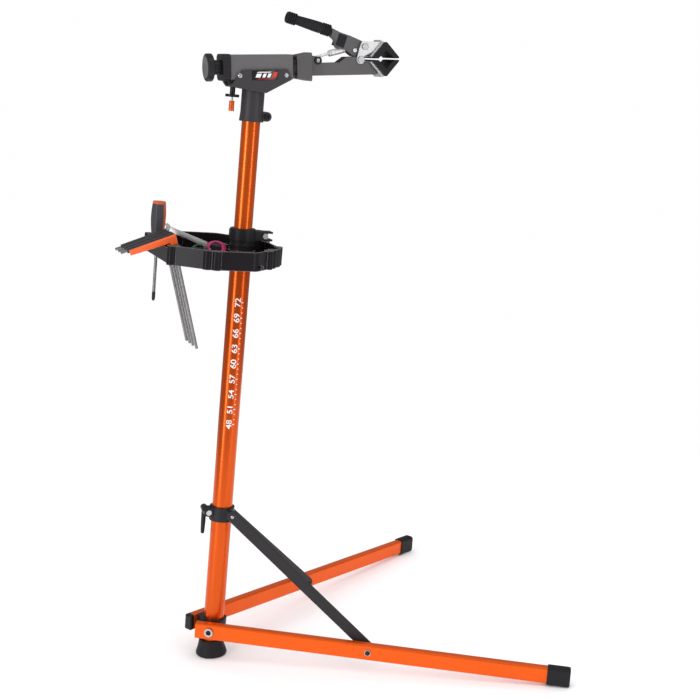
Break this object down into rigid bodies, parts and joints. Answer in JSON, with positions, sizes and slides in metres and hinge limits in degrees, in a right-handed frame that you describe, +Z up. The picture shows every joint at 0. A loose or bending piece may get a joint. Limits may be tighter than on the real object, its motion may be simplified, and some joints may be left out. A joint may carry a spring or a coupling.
{
  "type": "bicycle repair stand",
  "caption": "Folding repair stand with a leaning telescopic mast, two fold-up legs on struts, a tool tray with tools and a swivelling toggle clamp.",
  "frame": {"origin": "centre of the mast foot's flat underside, on the floor", "axes": "+Z up, +X forward along the clamp arm and between the legs, +Y to the left leg's side"},
  "size_m": [0.7657, 0.7964, 1.2595],
  "materials": {
    "orange_anodised": "satin",
    "black_paint": "satin",
    "grey_casting": "satin",
    "black_plastic": "matte",
    "tray_plastic": "gloss",
    "black_rubber": "matte",
    "nylon": "matte",
    "zinc_plate": "brushed",
    "tool_steel": "polished",
    "grey_plastic": "matte",
    "orange_plastic": "gloss"
  },
  "bodies": {
    "stand": {"lower_tube": "orange_anodised", "mast_foot": "black_rubber", "base_block": "black_plastic", "leg_pivot_bolts": "zinc_plate", "height_clamp": "black_plastic", "height_clamp_bolt": "zinc_plate", "tool_tray": "tray_plastic"},
    "leg_right": {"leg_right": "orange_anodised", "leg_cap_right": "black_rubber", "leg_plug_right": "black_plastic", "strut_rivet_right": "zinc_plate"},
    "leg_left": {"leg_left": "orange_anodised", "leg_cap_left": "black_rubber", "leg_plug_left": "black_plastic", "strut_rivet_left": "zinc_plate"},
    "fold_collar": {"fold_collar": "black_plastic", "fold_collar_bolt": "zinc_plate", "strut_hinge_pins": "zinc_plate"},
    "fold_lever": {"fold_lever": "black_plastic"},
    "strut_right": {"strut_right": "black_paint"},
    "strut_left": {"strut_left": "black_paint"},
    "height_lever": {"height_lever": "black_plastic"},
    "mast_slider": {"guide_bush": "nylon"},
    "upper_mast": {"upper_tube": "orange_anodised", "head_bracket": "grey_casting", "bracket_bolts": "zinc_plate", "bracket_clamp_bolt": "zinc_plate", "head_housing": "black_paint", "housing_rear_cap": "black_plastic", "axle_bushes": "nylon", "index_pin_guide": "zinc_plate"},
    "index_pin": {"index_pin": "zinc_plate", "index_pin_grip": "orange_plastic"},
    "clamp_head": {"swivel_axle": "zinc_plate", "swivel_sleeve": "black_plastic", "clamp_arm": "grey_casting", "lower_jaw_pad": "black_rubber", "lower_jaw_backing": "zinc_plate", "clamp_pins": "zinc_plate"},
    "friction_knob": {"friction_knob": "black_plastic", "knob_disc": "zinc_plate"},
    "upper_jaw": {"jaw_side_plates": "zinc_plate", "upper_jaw_backing": "zinc_plate", "upper_jaw_pad": "black_rubber", "handle_rivet": "zinc_plate"},
    "clamp_handle": {"clamp_handle": "grey_casting", "handle_grip": "black_rubber"},
    "adjuster_link": {"adjuster_link": "zinc_plate"},
    "adjuster_barrel": {"adjuster_barrel": "zinc_plate"},
    "screwdriver": {"screwdriver_handle": "grey_plastic", "screwdriver_blade": "tool_steel"},
    "hex_key_1": {"hex_key_grip_1": "grey_plastic", "hex_key_rod_1": "tool_steel"},
    "hex_key_2": {"hex_key_grip_2": "grey_plastic", "hex_key_rod_2": "tool_steel"},
    "hex_key_3": {"hex_key_grip_3": "grey_plastic", "hex_key_rod_3": "tool_steel"},
    "orange_hex_key": {"orange_hex_grip": "orange_plastic", "orange_hex_rod": "tool_steel"},
    "spanner": {"spanner": "tool_steel"}
  },
  "joints": [
    {"name": "collar_slide", "type": "slide", "parent": "stand", "child": "fold_collar", "axis": [0.095, 0, 0.9955], "range_m": [0, 0.45424]},
    {"name": "leg_fold_right", "type": "hinge", "parent": "stand", "child": "leg_right", "pos_m": [-0.011, -0.03478, 0.06333], "axis": [-0.4977, -0.866, 0.0475], "range_deg": [0, 86.47]},
    {"name": "strut_hinge_right", "type": "hinge", "parent": "fold_collar", "child": "strut_right", "pos_m": [0.04043, -0.03474, 0.29449], "axis": [0.4977, 0.866, -0.0475], "range_deg": [0, 53.7]},
    {"name": "leg_fold_left", "type": "hinge", "parent": "stand", "child": "leg_left", "pos_m": [-0.011, 0.03478, 0.06333], "axis": [0.4977, -0.866, -0.0475], "range_deg": [0, 86.47]},
    {"name": "strut_hinge_left", "type": "hinge", "parent": "fold_collar", "child": "strut_left", "pos_m": [0.04043, 0.03474, 0.29449], "axis": [-0.4977, 0.866, 0.0475], "range_deg": [0, 53.7]},
    {"name": "fold_lever_turn", "type": "hinge", "parent": "fold_collar", "child": "fold_lever", "pos_m": [-0.00147, 0.021, 0.3005], "axis": [0.9955, 0, -0.095], "range_deg": [0, 120]},
    {"name": "height_lever_turn", "type": "hinge", "parent": "stand", "child": "height_lever", "pos_m": [0.12235, 0.021, 0.84018], "axis": [-0.095, 0, -0.9955], "range_deg": [0, 120]},
    {"name": "mast_slide", "type": "slide", "parent": "stand", "child": "mast_slider", "axis": [0.095, 0, 0.9955], "range_m": [-0.195, 0.34]},
    {"name": "mast_turn", "type": "hinge", "parent": "mast_slider", "child": "upper_mast", "pos_m": [0.03989, 0, 0.4181], "axis": [0.095, 0, 0.9955], "continuous": true},
    {"name": "index_pin_pull", "type": "slide", "parent": "upper_mast", "child": "index_pin", "axis": [-0.095, 0, -0.9955], "range_m": [0, 0.008], "stiffness_N_per_m": 500, "springref_m": -0.006},
    {"name": "head_swivel", "type": "hinge", "parent": "upper_mast", "child": "clamp_head", "pos_m": [0.11039, 0, 1.157], "axis": [1, 0, 0], "continuous": true},
    {"name": "knob_turn", "type": "hinge", "parent": "clamp_head", "child": "friction_knob", "pos_m": [0.11039, 0, 1.157], "axis": [1, 0, 0], "continuous": true},
    {"name": "jaw_open", "type": "hinge", "parent": "clamp_head", "child": "upper_jaw", "pos_m": [0.31499, 0, 1.1698], "axis": [0, -1, 0], "range_deg": [0, 40]},
    {"name": "handle_swing", "type": "hinge", "parent": "upper_jaw", "child": "clamp_handle", "pos_m": [0.32359, 0, 1.1943], "axis": [0, 1, 0], "range_deg": [0, 119.61]},
    {"name": "link_swing", "type": "hinge", "parent": "clamp_head", "child": "adjuster_link", "pos_m": [0.22949, 0, 1.169], "axis": [0, -1, 0], "range_deg": [0, 19.01]},
    {"name": "barrel_spin", "type": "hinge", "parent": "adjuster_link", "child": "adjuster_barrel", "pos_m": [0.25547, 0, 1.18079], "axis": [0.9732, 0, 0.2298], "continuous": true},
    {"name": "screwdriver_lift", "type": "slide", "parent": "stand", "child": "screwdriver", "axis": [0.095, 0, 0.9955], "range_m": [0, 0.14]},
    {"name": "hex_key_1_lift", "type": "slide", "parent": "stand", "child": "hex_key_1", "axis": [-0.1831, 0, 0.9831], "range_m": [0, 0.215]},
    {"name": "hex_key_2_lift", "type": "slide", "parent": "stand", "child": "hex_key_2", "axis": [-0.1831, 0, 0.9831], "range_m": [0, 0.215]},
    {"name": "hex_key_3_lift", "type": "slide", "parent": "stand", "child": "hex_key_3", "axis": [-0.1831, 0, 0.9831], "range_m": [0, 0.215]},
    {"name": "orange_hex_key_lift", "type": "slide", "parent": "stand", "child": "orange_hex_key", "axis": [-0.1831, 0, 0.9831], "range_m": [0, 0.215]},
    {"name": "spanner_lift", "type": "slide", "parent": "stand", "child": "spanner", "axis": [0, 0, 1], "range_m": [0, 0.09]}
  ],
  "couplings": [
    {"joint": "leg_fold_right", "follows": "collar_slide", "rad_per_m": 3.3219},
    {"joint": "strut_hinge_right", "follows": "collar_slide", "rad_per_m": 2.0631},
    {"joint": "leg_fold_left", "follows": "collar_slide", "rad_per_m": 3.3219},
    {"joint": "strut_hinge_left", "follows": "collar_slide", "rad_per_m": 2.0631},
    {"joint": "handle_swing", "follows": "jaw_open", "ratio": 2.99},
    {"joint": "link_swing", "follows": "jaw_open", "ratio": 0.475}
  ]
}
